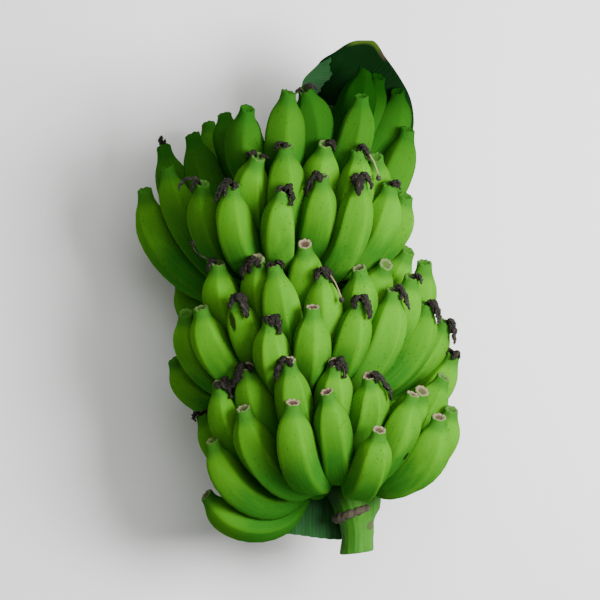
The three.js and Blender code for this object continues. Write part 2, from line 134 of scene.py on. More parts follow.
# Kinds of dried flower. Each lists its shrivelled petals: how far it is turned from the flower's own
# direction, how far it rises, reaches out and droops, and its width.
DRIED_KINDS = {
    "stub": [(0, 3, 6, 6, 7), (30, 4, 6, 3, 6.5), (-35, 4, 5, 2, 6), (85, 3, 5, 3, 5)],
    "hook": [(0, 6, 11, 9, 7), (22, 4, 8, 13, 6.5), (-25, 5, 8, 6, 7), (5, 7, 5, 2, 8), (-70, 3, 6, 3, 5.5)],
    "tongue": [
        (0, 3, 9, 20, 8.5), (18, 4, 8, 13, 7), (-22, 4, 8, 10, 7), (8, 6, 5, 3, 8), (60, 3, 6, 5, 5.5),
    ],
    "arch": [(0, 9, 22, 8, 6.5), (20, 4, 9, 9, 6), (-40, 3, 7, 7, 6)],
    "long": [(0, 2, 12, 29, 7), (12, 3, 9, 18, 7), (-30, 4, 7, 7, 6.5), (40, 4, 6, 6, 5.5)],
    "style": [(0, 6, 9, 8, 8), (25, 5, 9, 12, 7), (-28, 5, 8, 8, 7), (10, 7, 5, 3, 8), (60, 4, 8, 6, 6)],
    "whisker": [(0, 5, 9, 4, 7), (22, 4, 8, 9, 6), (-25, 5, 8, 3, 6)],
    "point": [(0, 4, 1, -12, 6.5), (120, 3, 2, -8, 5.5), (240, 3, 2, -6, 5.5)],
}

# Where a flower keeps its long style: how far that is turned, reaches out and droops
STYLE_LENGTHS = {"style": (22, 9, 33), "hook": (-12, 9, 14), "whisker": (0, 26, -25)}

# The hands on the front, from the lowest up. Each row lists its fingers from left to right: how far the tip
# stands across and up, the dried flower there with the way it leans (degrees from straight down, to the
# right) and, where it isn't the usual reach, how far the tip stands in front of the stalk's axis. A last
# number below 0 is painted shade that deepens its green, as a hand's own shade number does. Dryness is how
# brown the scars at the tips are.
FRONT_HANDS = [
    {
        "name": "hand_1_front", "crown": -173, "length": 134, "rise": 70, "sag": (24, 6),
        "lower": [
            (-98, -203, None, 30), (-90, -144, None), (-58, -110, None), (-7, -103, None), (27, -92, None),
            (81, -132, None), (116, -96, None), (143, -120, None), (157, -113, None, 50),
        ],
        "upper": [
            (-102, -118, ("stub", -60), 10), (-82, -84, ("hook", 60)), (-49, -64, ("tongue", -50)),
            (-14, -59, ("tongue", -60)), (33, -60, ("hook", 50)), (71, -77, ("long", 80)),
            (126, -94, None), (150, -80, None, 35),
        ],
    },
    {
        "name": "hand_2_front", "crown": -73, "length": 140, "rise": 76, "sag": (14, 18),
        "dryness": 0.65,
        "lower": [
            (-132, -62, None, 0), (-118, -13, None), (-102, -8, None), (-65, 3, ("tongue", 10)),
            (-29, -19, ("hook", 45)), (14, -7, None), (59, 2, ("tongue", 25)), (96, 11, ("tongue", 60)),
            (131, -3, ("tongue", 28)), (153, -23, ("tongue", 34)), (161, -56, ("stub", -15)),
        ],
        "upper": [
            (-84, 39, ("whisker", -90)), (-44, 45, ("tongue", -60)), (-28, 36, ("stub", 120)), (3, 61, None),
            (21, 28, ("style", 16)), (59, 34, None), (89, 37, None), (116, 24, ("stub", 60)),
            (112, 53, None, 40), (130, 40, None, 20),
        ],
    },
    {
        "name": "hand_3_front", "crown": 45, "length": 146, "rise": 80, "sag": (30, 8),
        # painted shade: a slightly deeper green for this hand
        "tone": -0.2, "dryness": 0.35,
        "lower": [
            (-163, 116, None, 0), (-139, 139, None, 20), (-100, 120, ("arch", -100)),
            (-67, 118, ("tongue", -55)), (-16, 113, ("hook", 40)), (21, 126, ("tongue", -75)),
            (61, 126, ("tongue", 10)), (92, 120, ("stub", 75)), (110, 108, None, 50),
        ],
        "upper": [
            (-144, 162, ("point", 0), -25, -0.4), (-113, 173, None, 20, -0.3), (-42, 147, ("stub", 180)),
            (-15, 158, ("stub", -90)), (26, 160, ("stub", 90)), (59, 154, ("style", 55)), (78, 147, None),
            (112, 179, None, 20, -1.1),
        ],
    },
    {
        "name": "hand_4_front", "crown": 124, "length": 138, "rise": 82, "sag": (8, 4),
        # painted shade: a deeper green for this hand, high up under the leaf
        "tone": -0.9, "dryness": 0.2,
        "lower": [
            (-79, 194, None, 30), (-53, 196, None), (-11, 213, None), (4, 216, ("stub", 150)),
            (63, 210, None),
        ],
        "upper": [(68, 239, None, 45, -0.5), (82, 233, None, 30), (102, 219, None, 18)],
    },
]

# The hands on the back
BACK_HANDS = [
    {"name": "hand_5_back", "crown": -125, "length": 134, "spread": (78, 74)},
    {"name": "hand_6_back", "crown": -22, "length": 140, "spread": (78, 72)},
    {"name": "hand_7_back", "crown": 88, "length": 140, "spread": (60, 66)},
]
# The back hands' tone is painted shade
BACK_HABIT = {"rise": 78, "sag": (0, 0), "lower": 6, "upper": 5, "tone": -0.4}
BACK_SHORTENING = 0.16
BACK_RISE = {"lower": 62, "upper": 98}

# The leaf and the sheath
LEAF_RIM = [
    [21, 168, -20], [20, 210, -4], [19, 246, 20], [37, 259, 32], [55, 269, 40], [76, 270, 38],
    [89, 254, 24], [106, 231, 6], [117, 210, -14], [120, 184, -26], [112, 158, -28],
]
LEAF_FOOT = {"up": 165, "forwards": -29, "half_width": 14}
LEAF_THICKNESS = 1.2
LEAF_HOLLOW = 1.8
FLAP_FOLD = [[20, 247, 21], [3, 229, 18], [2, 214, 18]]
FLAP_TEAR = [[31, 253, 29], [32, 238, 27], [26, 225, 23], [14, 213, 19]]
BRACT = {"left": -31, "right": 58, "top": -178, "bottom": -248, "behind": -20, "bulge": 5, "thickness": 1.4}

# Long dark marks on the peel and the stalk: how far across, up and out, half their width and length, and
# how far they lean
PEEL_MARKS = [(-69, -22, 90, 3.7, 12.5, 12), (109, -161, 90, 1.2, 5, -35)]
STALK_MARKS = [(74, -236, 0, 4, 6, -35)]
MARK_DEPTH = 0.06  # metres: how far in front of and behind its place a mark still shows

# Painted shade on the fingers, by place: more towards the top, and most in the leaf's shadow
SHADE_BY_HEIGHT = [(110, 0), (240, 1.1)]
LEAF_SHADOW_BY_HEIGHT = [(172, 0), (232, 1.5)]
LEAF_SHADOW_OUTWARDS = [(50, 1), (95, 0)]
LEAF_SHADOW_ACROSS = [(10, 0), (35, 1)]

# The lights: place in metres, size and power
LIGHTS = {"key light": ((1.1, 0.15, 1.6), 0.8, 80), "front light": ((0.3, 0.8, 2.5), 1.4, 31)}
LIT_PLACE = Vector((0, 0, 0.1))
SKY = {"Color": (1.0, 1.0, 0.96, 1), "Strength": 0.28}

UP = np.array([0.0, 1.0, 0.0])


def linear(red, green, blue):
    """A colour given as 0 to 255 on a screen, as linear light."""
    shares = [c / 255 for c in (red, green, blue)]
    return tuple(((c + 0.055) / 1.055) ** 2.4 if c > 0.04 else c / 12.92 for c in shares)


def colour_property(name, description, screen_colour):
    """A colour that can be changed in the panel."""
    look = {"subtype": "COLOR", "size": 3, "min": 0, "max": 1, "default": linear(*screen_colour)}
    return FloatVectorProperty(name=name, description=description, **look)


class PlantainColours(bpy.types.PropertyGroup):
    """The bunch's colours."""

    peel: colour_property("Peel", "Sunlit green of a finger", (63, 126, 32))
    peel_dark: colour_property("Dark peel", "Deeper green that mottles a finger", (43, 104, 27))
    # also painted light on a finger's upper part
    peel_pale_and_lit: colour_property("Pale peel", "Yellow-green of a finger's ridges and lit side", (96, 159, 26))
    # painted shade: this colour and the next stand in for shade on the fingers, not for their own green
    peel_shaded: colour_property("Shaded peel", "Green of the fingers that grew in the shade", (32, 82, 19))
    peel_leaf_shadow: colour_property("Hooded peel", "Deep green of the fingers under the leaf", (13, 52, 6))
    neck: colour_property("Neck", "Bluish green of a finger's neck", (40, 94, 30))
    scar_rim: colour_property("Scar rim", "Pinkish grey rim of the flower scar", (140, 126, 104))
    scar_heart: colour_property("Scar heart", "Purple brown middle of the flower scar", (84, 66, 56))
    speck: colour_property("Specks", "Dark specks on the peel", (30, 54, 8))
    dried: colour_property("Dried flower", "Black-brown of the dried flowers", (20, 17, 11))
    dried_pale: colour_property("Frayed edge", "Grey of their frayed edges", (90, 84, 66))
    style: colour_property("Style", "Straw colour of the long dried styles", (140, 128, 92))
    stalk: colour_property("Stalk", "Green of the stalk", (60, 120, 28))
    stalk_dark: colour_property("Stalk furrows", "Darker green between its ribs", (40, 96, 22))
    # painted shade on the stalk among the fingers
    stalk_painted_shade: colour_property("Hidden stalk", "Deep green of the stalk among the fingers", (12, 46, 8))
    stalk_cut: colour_property("Cut end", "Pale green of the stalk's cut end", (120, 146, 84))
    scar: colour_property("Sheath scar", "Brown of the rope-like scar on the stalk", (66, 58, 43))
    # the leaf's dark green is partly painted shade on its hollow side
    leaf: colour_property("Leaf", "Dark green of the leaf's hollow side", (2, 32, 4))
    # also painted light on the leaf's right side
    leaf_vein_and_light: colour_property("Leaf veins", "Lighter green of its veins", (8, 50, 9))
    # painted light on the leaf's folded rim
    leaf_lit_rim: colour_property("Leaf rim", "Yellow-green of its folded rim", (64, 90, 26))
    flap: colour_property("Flap", "Grey-green of the torn flap", (18, 71, 26))
    bract: colour_property("Sheath", "Blue-green of the sheath", (20, 68, 24))
    bract_pale: colour_property("Sheath stripes", "Lighter stripes on the sheath", (32, 88, 38))
    floor: colour_property("Floor", "Pale floor under the bunch", (246, 246, 246))


class PlantainSizes(bpy.types.PropertyGroup):
    """Fineness of the bunch."""

    angularity: FloatProperty(
        name="Angularity",
        description="How flat a finger's sides are between its ridges",
        default=0.85,
        min=0,
        max=1,
    )
    petal_sides: IntProperty(
        name="Petal sides", description="Sides of a dried petal", default=12, min=4, max=16
    )
    stalk_sides: IntProperty(
        name="Stalk sides", description="Sides of the stalk", default=96, min=24, max=200
    )
    camera_height: FloatProperty(
        name="Camera height", description="Above the stalk's axis", default=5.0, min=1, unit="LENGTH"
    )
    view_width: FloatProperty(
        name="View width",
        description="Width of what the camera sees at the stalk's axis",
        default=0.63,
        min=0.1,
        unit="LENGTH",
    )


# Numbers and curves


def draw(seed):
    """A repeatable random number from 0 to 1."""
    turned = math.sin(seed * 12.9898) * 43758.5453
    return turned - math.floor(turned)


def values_at(pairs, x):
    """Reads x from a list of (place, value), with straight lines between them."""
    places, values = zip(*pairs)
    return np.interp(x, places, values)


def unit(vector):
    """The same direction with a length of 1."""
    return vector / np.linalg.norm(vector, axis=-1, keepdims=True)


def between(start, end, leave, arrive, w):
    """A smooth way from start to end, which it leaves and reaches at two slopes, at w from 0 to 1."""
    cubed = (2 * start - 2 * end + leave + arrive) * w**3
    squared = (-3 * start + 3 * end - 2 * leave - arrive) * w**2
    return cubed + squared + leave * w + start


def stalk_across(up):
    """How far across the stalk's axis stands at a height."""
    steps = len(STALK_BOW) - 1
    along = steps * np.clip((np.asarray(up, float) - STALK_FOOT) / (STALK_TOP - STALK_FOOT), 0, 1)
    i = np.minimum(along.astype(int), steps)
    w = along - i
    before, start, end, after = (STALK_BOW[np.clip(i + k, 0, steps)] for k in (-1, 0, 1, 2))
    return between(start, end, (end - before) / 2, (after - start) / 2, w)


def stalk_at(up):
    """The stalk's axis at a height."""
    return np.array([float(stalk_across(up)), float(up), 0.0])


def outwards(azimuth):
    """The unit vector out of the stalk: 0 is the front, and a quarter turn is to the right."""
    return np.array([math.sin(azimuth), 0.0, math.cos(azimuth)])


def through(points, t):
    """Places on a smooth curve through points, at t from 0 to 1."""
    points = np.asarray(points, float)
    t = np.atleast_1d(np.asarray(t, float))
    steps = len(points) - 1
    ends = np.vstack([2 * points[0] - points[1], points, 2 * points[-1] - points[-2]])
    i = np.minimum((steps * np.clip(t, 0, 1)).astype(int), steps - 1)
    w = (steps * np.clip(t, 0, 1) - i)[:, None]
    p0, p1, p2, p3 = (ends[i + k] for k in range(4))
    spans = ((p0, p1), (p1, p2), (p2, p3))
    d0, d1, d2 = (np.sqrt(np.linalg.norm(b - a, axis=1, keepdims=True)) for a, b in spans)
    leave = ((p1 - p0) / d0 - (p2 - p0) / (d0 + d1) + (p2 - p1) / d1) * d1
    arrive = ((p2 - p1) / d1 - (p3 - p1) / (d1 + d2) + (p3 - p2) / d2) * d1
    return between(p1, p2, leave, arrive, w)


def bezier(points, t):
    """Places on the curve that four points steer, at t from 0 to 1."""
    t = np.atleast_1d(t)[:, None]
    s = 1 - t
    return s**3 * points[0] + 3 * s * s * t * points[1] + 3 * s * t * t * points[2] + t**3 * points[3]


class Line:
    """A curve as many close points, read by the share of its length."""

    def __init__(self, points):
        self.points = np.asarray(points, float)
        steps = np.linalg.norm(np.diff(self.points, axis=0), axis=1)
        self.shares = np.concatenate([[0], np.cumsum(steps)])
        self.length = self.shares[-1]
        self.shares /= self.length
        self.tangents = unit(np.gradient(self.points, axis=0))

    def read(self, values, share):
        return np.stack([np.interp(share, self.shares, values[:, k]) for k in range(3)], axis=1)

    def at(self, share):
        return self.read(self.points, share)

    def ahead(self, share):
        return unit(self.read(self.tangents, share))


# How the fingers grow


def crown_foot(hand, azimuth, lift):
    """Where the stalk's axis carries a hand's crown, which sags towards its sides."""
    sag = hand["sag"][0] if math.sin(azimuth) < 0 else hand["sag"][1]
    return stalk_at(hand["crown"] + lift - sag * math.sin(azimuth) ** 2)


def foot_of(hand, row, azimuth):
    """The place on the stalk's axis that a row of fingers springs from."""
    return crown_foot(hand, azimuth, ROW_LIFT if row == "upper" else -ROW_LIFT)


def turn_of(rise, slope):
    """Half of a finger's whole bend, from how it rises at its tip and how its chord slopes, in degrees."""
    return np.radians(np.clip(rise - slope, LEAST_BENT, MOST_BENT))


def reach_of(length, hand, rise):
    """How far from the stalk's axis a tip stands, by how far it rises above its root."""
    low, high, chord = -80.0, 80.0, 0.0
    for _ in range(20):
        slope = (low + high) / 2
        turn = turn_of(hand["rise"], slope)
        chord = length * math.sin(turn) / turn
        if chord * math.sin(math.radians(slope)) < rise:
            low = slope
        else:
            high = slope
    return chord * math.cos(math.radians(low)) + stalk_radius(hand["crown"]) + CROWN_DEPTH - ROOT_SINK


def stalk_radius(up):
    """The stalk's radius at a height."""
    return float(values_at(STALK_RADII, up))


def planted(hand, row, tip, dried, seed, tone=0):
    """A finger that springs from its hand's crown and ends at a tip."""
    azimuth = math.atan2(tip[0] - stalk_at(hand["crown"])[0], tip[2])
    foot = foot_of(hand, row, azimuth)
    root = foot + outwards(azimuth) * (stalk_radius(foot[1]) + CROWN_DEPTH - ROOT_SINK)
    dryness = hand.get("dryness", 1) * (1 - 0.7 * abs(math.sin(azimuth))) * (0.6 + 0.4 * draw(seed + 21))
    return {
        "root": root,
        "tip": np.array(tip, float),
        "rise": hand["rise"],
        "girth": FINGER_GIRTH * (1 + GIRTH_VARIATION * (2 * draw(seed) - 1.4)),
        "hand": hand["name"],
        # painted shade: a deeper green for the fingers on the bunch's left side
        "tone": tone + hand.get("tone", 0) + LEFT_PAINTED_SHADE * max(0, -math.sin(azimuth)),
        "dryness": dryness,
        "azimuth": azimuth,
        "dried": dried,
        "seed": seed,
    }


def front_fingers(hand):
    """The fingers of a hand that lists where each tip stands."""
    fingers = []
    for row in ("lower", "upper"):
        for i, (across, up, dried, *more) in enumerate(hand[row]):
            foot = foot_of(hand, row, 0)
            reach = reach_of(hand["length"], hand, up - foot[1])
            usual = math.sqrt(max(reach**2 - (across - foot[0]) ** 2, 0))
            depth, tone = [*more, *(usual, 0)[len(more):]]
            seed = hand["crown"] + 7 * i + (500 if row == "upper" else 0)
            fingers.append(planted(hand, row, (across, up, depth), dried, seed, tone))
    return fingers


def back_fingers(hand):
    """The fingers of a hand that spreads them evenly round the back of the stalk."""
    fingers = []
    for row in ("lower", "upper"):
        for i in range(hand[row]):
            seed = hand["crown"] + 7 * i + (900 if row == "upper" else 700)
            share = 2 * (i + 0.5) / hand[row] - 1
            spread = hand["spread"][0] if share > 0 else hand["spread"][1]
            azimuth = math.pi + math.radians(spread * share)
            size = 1 - BACK_SHORTENING * share**2
            rise = size * (BACK_RISE[row] + 10 * (draw(seed + 1) - 0.5))
            tip = foot_of(hand, row, azimuth)
            tip = tip + outwards(azimuth) * reach_of(size * hand["length"], hand, rise) + UP * rise
            kind = ("stub", "hook", "tongue")[int(3 * draw(seed + 4))]
            kept = draw(seed + 2) < 0.6 and abs(share) < SHOWN_FLOWERS
            dried = (kind, 360 * draw(seed + 5)) if kept else None
            fingers.append(planted(hand, row, tip, dried, seed))
    return fingers


def bows(roots, tips, sways, rises):
    """The four points of each finger's bowed centre line, and the side that its bend turns about."""
    chords = tips - roots
    straight = np.linalg.norm(chords, axis=1, keepdims=True)
    chords = chords / straight
    turn = turn_of(rises, np.degrees(np.arcsin(chords[:, 1])))[:, None]
    handle = (2 / 3) * straight * np.tan(turn / 2) / np.sin(turn)
    rising = unit(UP - chords * chords[:, 1:2])
    leave = chords * np.cos(turn) - rising * np.sin(turn)
    arrive = chords * np.cos(turn) + rising * np.sin(turn)
    points = np.stack([roots, roots + leave * handle + sways, tips - arrive * handle + sways, tips], axis=1)
    return points, np.cross(chords, rising)


def grow(fingers):
    """Moves each finger's tip and middle until neighbours no longer press into each other or the stalk."""
    roots = np.array([f["root"] for f in fingers])
    homes = np.array([f["tip"] for f in fingers])
    rises = np.array([f["rise"] for f in fingers], float)
    girths = np.array([f["girth"] for f in fingers])
    hands = np.array([f["hand"] for f in fingers])
    tips, sways = homes.copy(), np.zeros_like(homes)
    t = GROWTH_FROM + (1 - GROWTH_FROM) * np.arange(GROWTH_BEADS) / (GROWTH_BEADS - 1)
    weights = np.stack([(1 - t) ** 3, 3 * (1 - t) ** 2 * t, 3 * (1 - t) * t * t, t**3])
    radii = girths[:, None] * values_at(GROWTH_OUTLINE, t)
    one, other = np.triu_indices(len(fingers), 1)
    firmness = np.where(hands[one] == hands[other], FIRMNESS, 1.0)[:, None, None]
    room = firmness * (radii[one][:, :, None] + radii[other][:, None, :])
    for _ in range(GROWTH_STEPS):
        points, _sides = bows(roots, tips, sways, rises)
        beads = np.einsum("kb,nkc->nbc", weights, points)
        near = np.linalg.norm(tips[one] - tips[other], axis=1) <= CONTACT_RANGE
        a, b = one[near], other[near]
        apart = beads[a][:, :, None, :] - beads[b][:, None, :, :]
        distance = np.linalg.norm(apart, axis=3)
        gap = np.minimum(distance - room[near], 0)
        push = apart * (-gap * GROWTH_RATE / np.maximum(distance, 1e-9))[..., None]
        pressed = np.zeros_like(beads)
        np.add.at(pressed, a, push.sum(2))
        np.add.at(pressed, b, -push.sum(1))
        out = beads.copy()
        out[..., 0] -= stalk_across(beads[..., 1])
        out[..., 1] = 0
        distance = np.linalg.norm(out, axis=2)
        gap = np.minimum(distance - radii - values_at(STALK_RADII, beads[..., 1]), 0)
        gap = np.where(beads[..., 1] < STALK_TOP, gap, 0)
        pressed += out * (-gap * GROWTH_RATE / np.maximum(distance, 1e-9))[..., None]
        sunk = np.maximum(radii - beads[..., 2] - BUNCH_AT[2] - FLATTENING, 0)
        pressed[..., 2] += sunk * GROWTH_RATE
        tips = tips + np.einsum("nbc,b->nc", pressed, t**2)
        tips = tips + (homes - tips) * GROWTH_RETURN
        sways = (sways + np.einsum("nbc,b->nc", pressed, 2 * t * (1 - t))) * GROWTH_SLACK
    points, sides = bows(roots, tips, sways, rises)
    for finger, bow, side in zip(fingers, points, sides):
        finger.update(tip=bow[3], bow=bow, side=side)


def tuck_back(finger):
    """Leads a finger's foot further back round the stalk."""
    finger["bow"] = finger["bow"] + np.outer([1, 0.8, 0.1, 0], FOOT_TUCK)


def grown_hands():
    """Every hand with its fingers, as they lie once they have grown."""
    hands = [{**hand, "fingers": front_fingers(hand)} for hand in FRONT_HANDS]
    for hand in BACK_HANDS:
        whole = {**BACK_HABIT, **hand}
        hands.append({**whole, "fingers": back_fingers(whole)})
    grow([finger for hand in hands for finger in hand["fingers"]])
    for finger in hands[0]["fingers"][:2]:
        tuck_back(finger)
    return hands


# Modelling


def select_only(*items):
    """Selects these objects and no others, with the first of them active."""
    bpy.ops.object.select_all(action="DESELECT")
    for item in items:
        item.select_set(True)
    if items:
        bpy.context.view_layer.objects.active = items[0]


def turned_blank(name, sides, outline):
    """A straight round solid along Z: a filled ring extruded from height to height. The outline lists
    (height, radius)."""
    select_only()
    height, radius = outline[0]
    bpy.ops.mesh.primitive_circle_add(vertices=sides, radius=radius, fill_type="TRIFAN")
    bpy.ops.object.mode_set(mode="EDIT")
    bpy.ops.mesh.select_all(action="SELECT")
    bpy.ops.transform.translate(value=(0, 0, height))
    for (z0, r0), (z1, r1) in zip(outline, outline[1:]):
        bpy.ops.mesh.extrude_region_move(TRANSFORM_OT_translate={"value": (0, 0, z1 - z0)})
        bpy.ops.transform.resize(value=(r1 / r0, r1 / r0, 1), center_override=(0, 0, z1))
    bpy.ops.mesh.select_all(action="SELECT")
    bpy.ops.mesh.normals_make_consistent(inside=False)
    bpy.ops.object.mode_set(mode="OBJECT")
    blank = bpy.context.object
    blank.name = name
    return blank


def coordinates(mesh):
    co = np.zeros(len(mesh.vertices) * 3)
    mesh.vertices.foreach_get("co", co)
    return co.reshape(-1, 3)


def read_blank(blank):
    """A round blank's points, with the angle and the distance of each from its axis."""
    straight = coordinates(blank.data)
    x, y = straight[:, 0], straight[:, 1]
    return straight, np.arctan2(y, x), np.hypot(x, y)


def set_coordinates(mesh, co):
    mesh.vertices.foreach_set("co", np.asarray(co, np.float32).ravel())
    mesh.update()


def place(mesh, points):
    """Sets a mesh's points, given in millimetres from the stalk's axis."""
    set_coordinates(mesh, (points + BUNCH_AT) * METRES)


def note(mesh, **notes):
    """Keeps numbers or vectors of a mesh's points for its material. A single number holds for them all."""
    for name, values in notes.items():
        values = np.asarray(values, np.float32)
        if values.ndim == 0:
            values = np.full(len(mesh.vertices), values)
        kind, field = ("FLOAT_VECTOR", "vector") if values.ndim == 2 else ("FLOAT", "value")
        attribute = mesh.attributes.get(name) or mesh.attributes.new(name, kind, "POINT")
        attribute.data.foreach_set(field, values.ravel())


def bent(points, line, side):
    """Points of a straight blank (across, third, share of the length) laid along a line."""
    share = np.clip(points[:, 2], 0, 1)
    beyond = (points[:, 2] - share) * line.length
    ahead = line.ahead(share)
    across = unit(side - ahead * (ahead @ side)[:, None])
    third = np.cross(ahead, across)
    return line.at(share) + ahead * beyond[:, None] + across * points[:, 0:1] + third * points[:, 1:2]


def copy_of(blank, name):
    """A copy with its own mesh."""
    copy = blank.copy()
    copy.data = blank.data.copy()
    copy.name = name
    bpy.context.collection.objects.link(copy)
    return copy


def joined(objects):
    """All the objects as one."""
    select_only(*objects)
    bpy.ops.object.join()
    return bpy.context.object


def smooth(item, angle):
    """Shades a mesh smooth, but for edges sharper than an angle in degrees."""
    select_only(item)
    bpy.ops.object.shade_smooth_by_angle(angle=math.radians(angle))


def finish_piece(piece, name, slot, *nodes):
    """Names a piece, keeps it within the solids' own box, hangs it on the root body and hides the solids that
    it stands for.
    """
    piece.name = name
    set_coordinates(piece.data, np.clip(coordinates(piece.data), solid_box[0], solid_box[1]))
    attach(piece, "root")
    if nodes:
        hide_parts(*nodes)


# Materials


def colour(name):
    """A colour as it stands in the panel."""
    return tuple(getattr(bpy.context.scene.plantain_colours, name))


class Signal:
    """A socket that is added, subtracted and multiplied as a number."""

    def __init__(self, graph, socket):
        self.graph = graph
        self.socket = socket

    def __add__(self, other):
        return self.graph.math("ADD", self, other)

    __radd__ = __add__

    def __sub__(self, other):
        return self.graph.math("SUBTRACT", self, other)

    def __mul__(self, other):
        return self.graph.math("MULTIPLY", self, other)

    __rmul__ = __mul__


class Graph:
    """A material's nodes, and the hue that they have painted so far."""

    def __init__(self, name, ground):
        self.material = bpy.data.materials.new(name)
        self.material.use_nodes = True
        self.tree = self.material.node_tree
        self.tree.nodes.clear()
        self.hue = colour(ground)

    def add(self, kind, settings=None, inputs=None, output=0):
        """Adds a node. Settings are set first, then its sockets by name or number get a value or a link."""
        node = self.tree.nodes.new(kind)
        for name, value in (settings or {}).items():
            setattr(node, name, value)
        for key, value in (inputs or {}).items():
            if isinstance(value, Signal):
                self.tree.links.new(value.socket, node.inputs[key])
            else:
                node.inputs[key].default_value = value
        return Signal(self, node.outputs[output]) if node.outputs else None

    def math(self, operation, *values):
        return self.add("ShaderNodeMath", {"operation": operation}, dict(enumerate(values)))

    def stretched(self, place, scale, stretch):
        """A place with each of its axes scaled."""
        scales = tuple(scale * k for k in stretch)
        return self.add("ShaderNodeVectorMath", {"operation": "MULTIPLY"}, {0: place, 1: scales})

    def attribute(self, name, output="Fac"):
        return self.add("ShaderNodeAttribute", {"attribute_name": name}, output=output)

    def sheet_share(self, axis):
        """How far across (axis 0) or up (axis 1) a sheet a place is, from 0 to 1."""
        sheet = self.attribute("sheet", "Vector")
        return self.add("ShaderNodeSeparateXYZ", None, {0: sheet}, output=axis)

    def step(self, value, start, end):
        """Rises smoothly from 0 at start to 1 at end."""
        inputs = {"Value": value, "From Min": start, "From Max": end, "To Min": 0.0, "To Max": 1.0}
        return self.add("ShaderNodeMapRange", {"interpolation_type": "SMOOTHSTEP"}, inputs)

    def blend(self, share, a, b):
        """Goes from colour a to colour b as the share goes from 0 to 1."""
        a, b = (c if isinstance(c, Signal) else (*c, 1.0) for c in (a, b))
        return self.add("ShaderNodeMix", {"data_type": "RGBA"}, {0: share, 6: a, 7: b}, output=2)

    def paint(self, share, name):
        """Lays a colour of the panel over the hue, by a share from 0 to 1."""
        self.hue = self.blend(share, self.hue, colour(name))

    def noise(self, place, scale, detail=2.0, roughness=0.5, stretch=(1, 1, 1)):
        where = self.stretched(place, scale, stretch)
        inputs = {"Vector": where, "Scale": 1.0, "Detail": detail, "Roughness": roughness}
        return self.add("ShaderNodeTexNoise", None, inputs)

    def cells(self, place, scale, stretch, output):
        inputs = {"Vector": self.stretched(place, scale, stretch), "Scale": 1.0}
        return self.add("ShaderNodeTexVoronoi", None, inputs, output=output)

    def bump(self, height, distance, strength):
        """A relief whose full height is a distance in millimetres."""
        inputs = {"Height": height, "Distance": distance * METRES, "Strength": strength}
        return self.add("ShaderNodeBump", None, inputs)

    def marked(self, mark, grit):
        """1 within a long mark, seen from the front, and 0 outside it."""
        *middle, half_width, half_length, lean = mark
        middle = tuple((np.array(middle, float) + BUNCH_AT) * METRES)
        turned = self.add(
            "ShaderNodeMapping",
            {"vector_type": "TEXTURE"},
            {
                "Vector": self.add("ShaderNodeTexCoord", output="Object"),
                "Location": middle,
                "Rotation": (0, 0, math.radians(lean)),
                "Scale": (half_width * METRES, half_length * METRES, MARK_DEPTH),
            },
        )
        distance = self.add("ShaderNodeVectorMath", {"operation": "LENGTH"}, {0: turned}, "Value")
        return self.step(distance + (grit - 0.5) * 0.8, 1.1, 0.85)

    def finish(self, **sockets):
        """Closes the material with a Principled shader in its hue. Sockets are named with _ for a space."""
        inputs = {name.replace("_", " "): value for name, value in sockets.items()}
        shader = self.add("ShaderNodeBsdfPrincipled", None, {"Base Color": self.hue, **inputs})
        self.add("ShaderNodeOutputMaterial", None, {"Surface": shader})
        return self.material


